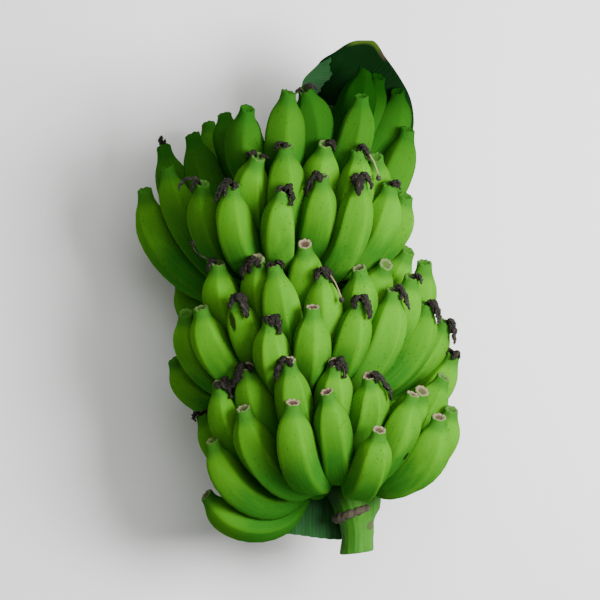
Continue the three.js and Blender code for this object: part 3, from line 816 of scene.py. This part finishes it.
def peel_material():
    """Waxy green peel: faint lengthwise streaks, mottling, dark specks, a bluish neck and the flower scar,
    with painted light towards the tips and painted shade towards the roots, on the left, high up and in the
    leaf's shadow.
    """
    g = Graph("green peel", "peel_dark")
    grain, along, tone = g.attribute("grain", "Vector"), g.attribute("along"), g.attribute("tone")
    ridge, scar, dryness = g.attribute("ridge"), g.attribute("scar"), g.attribute("dryness")
    mottle = g.noise(grain, 0.05, 3.0, 0.55, (1, 1, 0.5))
    streaks = g.noise(grain, 0.5, 3.0, 0.6, (1, 1, 0.045))
    g.paint(g.step(mottle + (tone - 0.5) * 0.45, 0.3, 0.7), "peel")
    g.paint(g.step(streaks, 0.48, 0.78) * 0.2, "peel_pale_and_lit")
    g.paint(g.step(streaks, 0.46, 0.24) * 0.25, "peel_dark")
    g.paint(ridge * 0.15, "peel_pale_and_lit")
    # painted light and shade: paler towards the tip, darker towards the root
    painted_light_along = along + (mottle - 0.5) * 0.2
    g.paint(g.step(painted_light_along, 0.5, 0.82) * 0.38, "peel_pale_and_lit")
    g.paint(g.step(painted_light_along, 0.5, 0.1) * 0.6, "peel_dark")
    neck = g.step(along + (mottle - 0.5) * 0.06, 0.88, 0.95)
    g.paint(neck * 0.7, "neck")
    # painted shade: deeper greens as the tone falls, deepest in the leaf's shadow
    g.paint(g.step(tone, 0.1, -1.2) * 0.9, "peel_shaded")
    g.paint(g.step(tone, -1.1, -2.6), "peel_leaf_shadow")
    near, lottery = (g.cells(grain, 0.3, (1, 1, 0.6), output) for output in ("Distance", "Color"))
    spots = g.step(near, 0.24, 0.1) * g.step(lottery, 0.44, 0.5)
    flecks = g.step(g.noise(grain, 0.75, 2.0, 0.6, (1, 1, 0.55)), 0.63, 0.7)
    patches = g.step(g.noise(grain, 0.035, 2.0), 0.42, 0.6)
    g.paint((spots * 0.75 + flecks * 0.4) * (0.35 + 0.65 * patches), "speck")
    grit = g.noise(grain, 0.8, 4.0, 0.7)
    for mark in PEEL_MARKS:
        g.paint(g.marked(mark, grit) * (0.75 + 0.3 * grit), "dried")
    worn = g.blend(g.step(scar + (grit - 0.5) * 1.4, 1.15, 1.95), colour("scar_rim"), colour("scar_heart"))
    dried = g.step(dryness + (grit - 0.5) * 0.3, 0.1, 0.55)
    g.hue = g.blend(g.step(scar + (grit - 0.5) * 0.5, 0.35, 0.65) * dried, g.hue, worn)
    roughness = 0.48 + 0.12 * mottle + 0.35 * g.step(scar, 0.3, 0.7)
    relief = streaks * 0.6 + mottle * 0.8 + grit * g.step(scar, 0.3, 0.9) * 3.0
    return g.finish(Roughness=roughness, Specular_IOR_Level=0.0, Normal=g.bump(relief, 0.35, 0.6))


def dried_material():
    """Shrivelled black-brown petals with grey, frayed edges."""
    g = Graph("dried flower", "dried")
    grain = g.attribute("grain", "Vector")
    folds = g.noise(grain, 0.55, 4.0, 0.7, (1, 1, 0.25))
    crumbs = g.noise(grain, 1.6, 3.0, 0.7)
    g.paint(g.step(folds * 0.7 + crumbs * 0.3, 0.5, 0.72), "dried_pale")
    return g.finish(Roughness=0.75, Specular_IOR_Level=0.25, Normal=g.bump(folds + crumbs * 0.4, 1.2, 0.9))


def style_material():
    """A dried style: straw coloured, dark at its knob."""
    g = Graph("dried style", "style")
    grain, along = g.attribute("grain", "Vector"), g.attribute("along")
    mottle = g.noise(grain, 0.5, 3.0, 0.6, (1, 1, 0.2))
    g.paint(g.step(along + (mottle - 0.5) * 0.2, 0.8, 0.9), "dried")
    g.paint(g.step(mottle, 0.5, 0.7) * 0.5, "dried_pale")
    return g.finish(Roughness=0.7, Normal=g.bump(mottle, 0.6, 0.6))


def stalk_material():
    """Ribbed green stem with brown marks, and painted shade where it runs among the fingers."""
    g = Graph("stalk", "stalk_dark")
    grain, along = g.attribute("grain", "Vector"), g.attribute("along")
    ribs = g.noise(grain, 0.25, 3.0, 0.6, (1, 1, 0.04))
    mottle = g.noise(grain, 0.06, 3.0, 0.6, (1, 1, 0.4))
    g.paint(g.step(ribs * 0.4 + mottle * 0.6, 0.36, 0.64), "stalk")
    # painted shade on the stalk above its foot, where it runs among the fingers
    g.paint(g.step(along, 0.085, 0.14) * 0.85, "stalk_painted_shade")
    grit = g.noise(grain, 0.4, 4.0, 0.7)
    marks = g.step(g.noise(grain, 0.09, 4.0, 0.7), 0.66, 0.74)
    g.paint(marks * 0.5, "scar")
    g.paint(g.attribute("cut") * (0.75 + 0.5 * (grit - 0.5)), "stalk_cut")
    for mark in STALK_MARKS:
        g.paint(g.marked(mark, grit) * 0.7, "scar")
    return g.finish(Roughness=0.55 + 0.15 * mottle, Specular_IOR_Level=0.12, Normal=g.bump(ribs, 0.6, 0.7))


def scar_material():
    """The dry brown scar that a fallen sheath left round the stalk."""
    g = Graph("sheath scar", "scar")
    grain = g.attribute("grain", "Vector")
    grit = g.noise(grain, 0.5, 4.0, 0.7)
    g.paint(g.step(grit, 0.45, 0.7) * 0.35, "dried_pale")
    return g.finish(Roughness=0.85, Normal=g.bump(grit, 1.5, 0.9))


def leaf_material():
    """Leaf darkened with painted shade on its hollow side, with close parallel veins, painted light towards
    its right side and along its yellow-green folded rim.
    """
    g = Graph("leaf", "leaf")
    sheet, across, up = g.attribute("sheet", "Vector"), g.sheet_share(0), g.sheet_share(1)
    mottle = g.noise(sheet, 4.0, 4.0, 0.6)
    vein = g.math("SINE", (across + (mottle - 0.5) * 0.02) * 330.0)
    g.paint(g.step(vein, 0.2, 1.0) * 0.2, "leaf_vein_and_light")
    g.paint(g.step(mottle, 0.45, 0.8) * 0.5, "leaf_vein_and_light")
    # painted light: lighter towards the leaf's right side
    g.paint(g.step(across, 0.7, 0.95) * 0.6, "leaf_vein_and_light")
    # painted light on the folded rim
    lit_rim = g.step(up, 0.955, 0.985) * g.step(across, 0.36, 0.42) * g.step(across, 0.6, 0.54)
    g.paint(lit_rim, "leaf_lit_rim")
    browned = g.step(up, 0.96, 0.99) * g.step(across, 0.55, 0.57) * g.step(across, 0.62, 0.59)
    g.paint(browned, "scar")
    return g.finish(Roughness=0.7, Specular_IOR_Level=0.1, Normal=g.bump(vein * 0.15 + mottle, 0.5, 0.6))


def flap_material():
    """The torn flap's grey-green back, with its veins."""
    g = Graph("leaf flap", "flap")
    sheet, up = g.attribute("sheet", "Vector"), g.sheet_share(1)
    mottle = g.noise(sheet, 5.0, 4.0, 0.6)
    vein = g.math("SINE", (up + (mottle - 0.5) * 0.03) * 120.0)
    g.paint(g.step(vein, 0.0, 1.0) * 0.35, "bract_pale")
    g.paint(g.step(mottle, 0.55, 0.75) * 0.5, "leaf_vein_and_light")
    return g.finish(Roughness=0.6, Normal=g.bump(vein, 0.4, 0.5))


def bract_material():
    """Blue-green sheath, striped lengthwise."""
    g = Graph("sheath", "bract")
    sheet, across = g.attribute("sheet", "Vector"), g.sheet_share(0)
    mottle = g.noise(sheet, 3.0, 4.0, 0.6, (6, 0.6, 1))
    fine = g.noise(sheet, 60.0, 2.0, 0.6, (1, 0.02, 1))
    stripe = g.math("SINE", (across + (mottle - 0.5) * 0.05) * 150.0)
    g.paint(g.step(stripe * 0.15 + fine, 0.4, 0.8) * 0.7, "bract_pale")
    g.paint(g.step(mottle, 0.45, 0.75) * 0.7, "bract_pale")
    return g.finish(Roughness=0.65, Specular_IOR_Level=0.15, Normal=g.bump(fine + stripe * 0.1, 0.4, 0.6))


def floor_material():
    """Pale paint with the faintest speckle."""
    g = Graph("pale floor", "floor")
    speckle = g.noise(g.add("ShaderNodeTexCoord", output="Object"), 3.0)
    g.hue = g.blend(speckle * 0.04, g.hue, tuple(0.97 * c for c in g.hue))
    return g.finish(Roughness=0.8)


# The pieces


def smooth_blank(name, sides, outline, angle):
    """A straight blank, one long, of which copies are bent."""
    blank = turned_blank(name, sides, outline)
    smooth(blank, angle)
    return blank


def blanks_of_a_hand():
    """What a hand is made of: a finger with its flower scar, a petal, a style with a knob, and a crown."""
    petal_sides = bpy.context.scene.plantain_sizes.petal_sides
    crown_outline = [*CROWN_END, (0.2, 1), *((s, 1.0) for s in np.linspace(0.25, 0.8, 14))]
    crown_outline += [(1 - s, radius) for s, radius in reversed(CROWN_END)]
    return {
        "finger": smooth_blank("finger blank", FINGER_SIDES, FINGER_OUTLINE + DISC_OUTLINE, 55),
        "petal": smooth_blank("petal blank", petal_sides, PETAL_OUTLINE, 40),
        "style": smooth_blank("style blank", petal_sides, STYLE_OUTLINE, 40),
        "crown": smooth_blank("crown blank", 32, crown_outline, 60),
    }


def edged(angle):
    """How far out a finger's section stands at an angle, from its flat sides to 1 on its ridges, and how
    near a ridge it is."""
    part = 2 * math.pi / FINGER_EDGES
    off = np.mod(angle, part) - part / 2
    section = math.cos(part / 2) / np.cos(off)
    return section, np.abs(off) / (part / 2)


def finger_copy(blank, finger):
    """One finger, bent along its bow, with its own ridges, and its tone with painted shade."""
    seed = finger["seed"]
    copy = copy_of(blank, "finger")
    straight, angle, radius = read_blank(copy)
    share = np.clip(straight[:, 2], 0, 1)
    section, nearness = edged(angle)
    sharpness = bpy.context.scene.plantain_sizes.angularity * values_at(SHARPNESS, share)
    girth = finger["girth"] * (1 + sharpness * (EDGE_BULGE * section - 1))
    spin = angle + 0.22 * np.sin(angle + 6.28 * draw(seed + 11)) + 6.28 * draw(seed + 12)
    ripple = 1 + 0.012 * np.sin(9 * share + 2 * angle + 6.28 * draw(seed + 13))
    ragged = np.clip((straight[:, 2] - 0.975) / 0.02, 0, 1) * (radius > 0.2)
    chipped = np.sin(5 * angle + 6.28 * draw(seed + 18)) + 0.7 * np.sin(11 * angle + 6.28 * draw(seed + 19))
    ripple += 0.028 * ragged * chipped
    shaped = np.stack(
        [
            radius * girth * ripple * np.cos(spin),
            radius * girth * ripple * np.sin(spin),
            straight[:, 2] + 0.003 * ragged * np.sin(7 * angle + 6.28 * draw(seed + 13)),
        ],
        axis=1,
    )
    line = Line(bezier(finger["bow"], np.linspace(0, 1, 81)))
    laid = bent(shaped, line, finger["side"])
    ahead = unit(finger["bow"][3] - finger["bow"][2])
    open_side = leaning(finger, 0, ahead)
    tilt = math.tan(math.radians(DISC_TILT)) * np.clip((share - 0.955) / 0.04, 0, 1)
    laid -= ahead * (tilt * ((laid - finger["tip"]) @ open_side))[:, None]
    place(copy.data, laid)
    drift = 400 * np.array([draw(seed + 14), draw(seed + 15), draw(seed + 16)])
    note(
        copy.data,
        grain=shaped * [1, 1, line.length] + drift,
        along=straight[:, 2],
        # tone at random, less the painted shade
        tone=draw(seed + 17) + finger["tone"] - shade_at(laid),
        dryness=finger["dryness"],
        ridge=np.clip(nearness * 5 - 4, 0, 1) * np.clip(sharpness * 2, 0, 1),
        scar=scar_of(straight[:, 2], radius),
    )
    return copy


def shade_at(points):
    """How much painted shade a place on a finger gets: more towards the top, and most in the leaf's shadow.
    """
    across, up, out = points.T
    leaf_shadow = values_at(LEAF_SHADOW_BY_HEIGHT, up) * values_at(LEAF_SHADOW_OUTWARDS, out) * values_at(LEAF_SHADOW_ACROSS, across)
    return values_at(SHADE_BY_HEIGHT, up) + leaf_shadow


def scar_of(share, radius):
    """0 on the peel, 1 on the rim of the flower scar and 2 at its heart."""
    inner = values_at([(0.11, 2), (0.2, 1.8), (0.26, 1)], radius)
    outer = 0.5 * (share > DISC_LIP)
    return np.where(share > DISC_HEIGHT, np.where(radius < DISC_RIM, inner, outer), 0)


def leaning(finger, angle, ahead):
    """The unit vector square to a finger's tip that points down in the view, turned right by an angle."""
    turn = math.radians(angle)
    wanted = np.array([math.sin(turn), -math.cos(turn), 0.35 if finger["tip"][2] > -20 else -0.35])
    return unit(wanted - ahead * (wanted @ ahead))


def dried_line(finger, turn, rise, reach, droop):
    """The line of a petal or a style that leaves a finger's tip and droops over it, and the way it leans."""
    ahead = unit(finger["bow"][3] - finger["bow"][2])
    lean = leaning(finger, turn, ahead)
    tip = finger["tip"]
    surface = finger["girth"] * 1.08 * values_at(FINGER_OUTLINE, 1 - max(droop, 0) / 145)
    outer = max(reach * 1.08, surface + 2 if droop > 0 else 0)
    steers = [
        tip - ahead * 1.5 + lean * 2.5,
        tip + ahead * (rise + 2) + lean * 3,
        tip + ahead * min(rise, 12 - droop / 2) + lean * max(reach, outer * 0.95),
        tip - ahead * droop + lean * outer,
    ]
    return Line(bezier(steers, np.linspace(0, 1, 41))), lean


def dried_part(blank, material, line, lean, width, thickness, seed, crumple):
    """A petal or a style, crumpled and laid along its line."""
    copy = copy_of(blank, "dried part")
    copy.data.materials.append(material)
    straight, angle, _radius = read_blank(copy)
    z = straight[:, 2]
    side = np.cross(line.ahead(np.array([0.5]))[0], lean)
    phases = 6.28 * np.array([draw(seed + 0.1 * k) for k in range(6)])
    wrinkle = 1 + crumple * np.sin(3 * angle + 15 * z + phases[0]) * np.cos(9 * z + phases[1])
    wrinkle += 0.6 * crumple * np.sin(5 * angle - 31 * z + phases[2])
    curl = crumple * (3.2 * np.sin(7 * z + phases[3]) + 1.4 * np.sin(19 * z + phases[4])) * z
    sway = crumple * 4 * np.sin(5 * z + phases[5]) * z
    shaped = np.stack(
        [straight[:, 0] * width * wrinkle + sway, straight[:, 1] * thickness * wrinkle + curl, z], axis=1
    )
    place(copy.data, bent(shaped, line, side))
    note(copy.data, grain=shaped * [1, 1, line.length] + 300 * draw(seed + 3), along=z)
    return copy


def dried_flower(blanks, materials, finger):
    """What is left of a finger's flower: a few shrivelled petals and, on some, its long style."""
    kind, lean_angle = finger["dried"]
    made = []
    for k, (turn, rise, reach, droop, width) in enumerate(DRIED_KINDS[kind]):
        seed = finger["seed"] + 20 + 3 * k
        turn += lean_angle + 24 * (draw(seed + 5) - 0.5)
        line, lean = dried_line(finger, turn, rise, reach, droop)
        sizes = width / 2, 0.7 + 0.1 * width
        made.append(dried_part(blanks["petal"], materials["dried"], line, lean, *sizes, seed, 0.4))
    if kind in STYLE_LENGTHS:
        turn, reach, length = STYLE_LENGTHS[kind]
        line, lean = dried_line(finger, lean_angle + turn, 3, reach, length)
        material = materials["style" if kind == "style" else "dried"]
        sizes = STYLE_WIDTH, STYLE_WIDTH
        made.append(dried_part(blanks["style"], material, line, lean, *sizes, finger["seed"] + 60, 0.08))
    return made


def crown_copy(blank, hand):
    """The cushion that joins a hand's fingers to the stalk."""
    behind = hand["name"].endswith("back")
    turns = [f["azimuth"] % (2 * math.pi) if behind else f["azimuth"] for f in hand["fingers"]]
    azimuths = np.linspace(min(turns) - CROWN_OVERHANG, max(turns) + CROWN_OVERHANG, 9)
    radius = stalk_radius(hand["crown"]) + CROWN_DEPTH / 2
    middles = [crown_foot(hand, a, 0) + outwards(a) * radius for a in azimuths]
    line = Line(through(middles, np.linspace(0, 1, 121)))
    copy = copy_of(blank, "crown")
    straight, angle, _radius = read_blank(copy)
    z = straight[:, 2]
    lumps = 1 + 0.05 * np.sin(2 * angle + 40 * z) + 0.03 * np.sin(5 * angle - 23 * z)
    shaped = straight * [CROWN_THICKNESS, CROWN_THICKNESS, 1]
    shaped[:, :2] *= lumps[:, None]
    place(copy.data, bent(shaped, line, UP))
    note(copy.data, grain=shaped * [1, 1, line.length], along=0.05, tone=0.3, ridge=0, scar=0, dryness=0)
    return copy


def build_hand(hand, blanks, materials):
    """A hand in one piece: its crown, its fingers and what is left of their flowers."""
    pieces = [crown_copy(blanks["crown"], hand)]
    pieces += [finger_copy(blanks["finger"], f) for f in hand["fingers"]]
    for piece in pieces:
        piece.data.materials.append(materials["peel"])
    for finger in hand["fingers"]:
        if finger["dried"]:
            pieces += dried_flower(blanks, materials, finger)
    name = hand["name"].replace("hand", "fingers")
    finish_piece(joined(pieces), name, "peel", hand["name"])


def sheet_piece(surface, columns, rows, thickness, material):
    """A thin sheet whose middle surface is a function of u and v, each from 0 to 1."""
    select_only()
    bpy.ops.mesh.primitive_grid_add(x_subdivisions=columns, y_subdivisions=rows, size=1)
    sheet = bpy.context.object
    flat = coordinates(sheet.data)[:, :2] + 0.5
    place(sheet.data, surface(flat[:, 0], flat[:, 1]))
    note(sheet.data, sheet=np.column_stack([flat, np.zeros(len(flat))]))
    solid = sheet.modifiers.new("wall", "SOLIDIFY")
    solid.thickness = thickness * METRES
    solid.offset = 0
    bpy.ops.object.modifier_apply(modifier=solid.name)
    smooth(sheet, 50)
    sheet.data.materials.append(material)
    return sheet


def blade(u, v):
    """The hood's middle surface: from its foot behind the stalk, v = 0, to its rim."""
    edge = through(LEAF_RIM, u)
    up, forwards, half_width = LEAF_FOOT["up"], LEAF_FOOT["forwards"], LEAF_FOOT["half_width"]
    across = stalk_at(up)[0] + half_width * (2 * u - 1)
    foot = np.column_stack([across, np.full(len(u), up), np.full(len(u), forwards)])
    at = foot + (edge - foot) * v[:, None]
    at[:, 2] = foot[:, 2] + (edge[:, 2] - foot[:, 2]) * v**LEAF_HOLLOW
    return at


def flap(u, v):
    """The torn flap's middle surface, from its fold, u = 0, to its ragged edge."""
    at = through(FLAP_FOLD, 1 - v) * (1 - u[:, None]) + through(FLAP_TEAR, 1 - v) * u[:, None]
    ragged = 1.8 * np.sin(13 * v + 0.5) + 0.7 * np.sin(41 * v + 1) + 0.35 * np.sin(97 * v)
    at[:, 0] += u**2 * ragged * (v < 0.99)
    return at


def sheath(u, v):
    """The striped sheath's middle surface."""
    x = BRACT["left"] + (BRACT["right"] - BRACT["left"]) * u
    wave = 2.2 * np.sin(5 * u + 0.9) - 3 * u + 0.25 * np.sin(61 * u)
    y = BRACT["bottom"] + wave + (BRACT["top"] - BRACT["bottom"] - wave) * v
    z = BRACT["behind"] + BRACT["bulge"] * (1 - u) ** 2 + 0.3 * np.sin(28 * u)
    return np.column_stack([x, y, z])


def build_stalk(material):
    """The ribbed stalk."""
    reach = STALK_TOP - STALK_FOOT
    outline = [(0, 17.2), (0.002, 18.2)]
    outline += [(s, stalk_radius(STALK_FOOT + s * reach)) for s in np.linspace(0.008, 0.995, 90)]
    outline += [(0.999, 23.4), (1.0, 22)]
    blank = turned_blank("stalk", bpy.context.scene.plantain_sizes.stalk_sides, outline)
    straight, angle, radius = read_blank(blank)
    z = straight[:, 2]
    wall = radius > 5  # the middles of the two ends stay where they are
    ribs = 0.22 * np.sin(17 * angle) + 0.15 * np.sin(29 * angle + 1.3) + 0.6 * np.sin(3 * angle + 4 * z)
    shaped = straight.copy()
    shaped[:, :2] *= (1 + (ribs - 0.6) / 22 * wall)[:, None]
    up = STALK_FOOT + z * reach
    shaped[:, 0] += values_at(STALK_SHOULDER, up) * np.clip(np.cos(angle), 0, 1) ** 1.5 * wall
    shaped[:, 0] -= values_at([(STALK_FOOT, 2.5), (STALK_FOOT + 20, 0)], up)
    slant = values_at([(STALK_FOOT, 0.004), (STALK_FOOT + 16, 0)], up)
    shaped[:, 2] += slant * (1 + shaped[:, 0] / 18.5) / 2
    line = Line([stalk_at(height) for height in np.linspace(STALK_FOOT, STALK_TOP, 161)])
    place(blank.data, bent(shaped, line, np.array([1.0, 0, 0])))
    note(blank.data, grain=shaped * [1, 1, line.length], along=z, cut=np.abs(z - 0.5) > 0.4999)
    smooth(blank, 40)
    blank.data.materials.append(material)
    finish_piece(blank, "ribbed_stalk", "stalk", "stalk")


def build_scar(material):
    """The rope-like scar round the stalk near its foot."""
    points = []
    for azimuth in np.radians(np.linspace(*SCAR_ENDS, 15)):
        up = SCAR_UP + SCAR_SLANT * math.sin(azimuth)
        points.append(stalk_at(up) + outwards(azimuth) * (stalk_radius(up) + 0.3))
    line = Line(through(points, np.linspace(0, 1, 161)))
    outline = [(0, 1.5), (0.02, 3.4)] + [(s, 4.9 - s) for s in np.linspace(0.05, 0.93, 50)]
    outline += [(0.98, 2.4), (1.0, 1.0)]
    blank = turned_blank("scar", 16, outline)
    straight, angle, _radius = read_blank(blank)
    z = straight[:, 2]
    twists = 0.1 * np.sin(34 * z + 1.5 * np.sin(angle))
    lumps = 0.09 * np.sin(2 * angle + 61 * z) + 0.07 * np.sin(5 * angle - 19 * z)
    straight[:, :2] *= (1 + twists + lumps)[:, None]
    place(blank.data, bent(straight, line, UP))
    note(blank.data, grain=straight * [1, 1, line.length])
    smooth(blank, 60)
    blank.data.materials.append(material)
    finish_piece(blank, "sheath_scar", "stalk")


def add_light(name, location, size, energy):
    """A square light that faces the bunch."""
    bpy.ops.object.light_add(type="AREA", location=location)
    lamp = bpy.context.object
    lamp.name = name
    lamp.data.size = size
    lamp.data.energy = energy
    lamp.rotation_euler = (LIT_PLACE - Vector(location)).to_track_quat("-Z", "Y").to_euler()


class StageOperator(bpy.types.Operator):
    """Set the camera, the soft light and the pale floor"""

    bl_idname = "plantains.stage"
    bl_label = "Stage"

    def execute(self, context):
        select_only()
        sizes = context.scene.plantain_sizes
        bpy.ops.mesh.primitive_plane_add(size=30)
        floor = context.object
        floor.name = "floor"
        floor.data.materials.append(floor_material())
        above = BUNCH_AT * METRES + [0, 0, sizes.camera_height]
        bpy.ops.object.camera_add(location=above, rotation=(0, 0, 0))
        camera = context.object
        camera.name = "camera"
        camera.data.lens = camera.data.sensor_width * sizes.camera_height / sizes.view_width
        camera.data.clip_end = 100
        context.scene.camera = camera
        for name, light in LIGHTS.items():
            add_light(name, *light)
        world = bpy.data.worlds.new("studio")
        world.use_nodes = True
        for socket, value in SKY.items():
            world.node_tree.nodes["Background"].inputs[socket].default_value = value
        context.scene.world = world
        return {"FINISHED"}


class HandsOperator(bpy.types.Operator):
    """Make the hands of fingers with their dried flowers"""

    bl_idname = "plantains.hands"
    bl_label = "Hands of fingers"

    def execute(self, context):
        blanks = blanks_of_a_hand()
        materials = {"peel": peel_material(), "dried": dried_material(), "style": style_material()}
        for hand in grown_hands():
            build_hand(hand, blanks, materials)
        for blank in blanks.values():
            bpy.data.objects.remove(blank)
        return {"FINISHED"}


class StalkOperator(bpy.types.Operator):
    """Make the ribbed stalk and the scar round it"""

    bl_idname = "plantains.stalk"
    bl_label = "Stalk"

    def execute(self, context):
        build_stalk(stalk_material())
        build_scar(scar_material())
        return {"FINISHED"}


class LeafOperator(bpy.types.Operator):
    """Make the leaf that hoods the top, with its torn flap"""

    bl_idname = "plantains.leaf"
    bl_label = "Leaf"

    def execute(self, context):
        hood = sheet_piece(blade, 96, 40, LEAF_THICKNESS, leaf_material())
        finish_piece(hood, "leaf_hood", "leaf", "top_leaf")
        torn = sheet_piece(flap, 16, 90, LEAF_THICKNESS, flap_material())
        finish_piece(torn, "leaf_flap", "leaf")
        return {"FINISHED"}


class SheathOperator(bpy.types.Operator):
    """Make the striped scrap of sheath behind the stalk's foot"""

    bl_idname = "plantains.sheath"
    bl_label = "Sheath"

    def execute(self, context):
        piece = sheet_piece(sheath, 120, 24, BRACT["thickness"], bract_material())
        finish_piece(piece, "striped_sheath", "bract", "lower_bract")
        return {"FINISHED"}


OPERATORS = (StageOperator, HandsOperator, StalkOperator, LeafOperator, SheathOperator)


class PlantainPanel(bpy.types.Panel):
    """Lists what makes the bunch."""

    bl_idname = "VIEW3D_PT_plantains"
    bl_label = "Plantain bunch"
    bl_space_type = "VIEW_3D"
    bl_region_type = "UI"
    bl_category = "Plantains"

    def draw(self, context):
        for operator in OPERATORS:
            self.layout.operator(operator.bl_idname)
        for group in (context.scene.plantain_sizes, context.scene.plantain_colours):
            for name in group.__annotations__:
                self.layout.prop(group, name)


CLASSES = (PlantainColours, PlantainSizes, *OPERATORS, PlantainPanel)


def register():
    """Adds the classes and the two groups of properties."""
    for item in CLASSES:
        bpy.utils.register_class(item)
    bpy.types.Scene.plantain_colours = PointerProperty(type=PlantainColours)
    bpy.types.Scene.plantain_sizes = PointerProperty(type=PlantainSizes)


def unregister():
    """Takes them out again."""
    del bpy.types.Scene.plantain_colours
    del bpy.types.Scene.plantain_sizes
    for item in reversed(CLASSES):
        bpy.utils.unregister_class(item)


def main():
    """Makes the bunch."""
    register()
    bpy.ops.plantains.stage()
    bpy.ops.plantains.hands()
    bpy.ops.plantains.stalk()
    bpy.ops.plantains.leaf()
    bpy.ops.plantains.sheath()


if __name__ == "__main__":
    main()
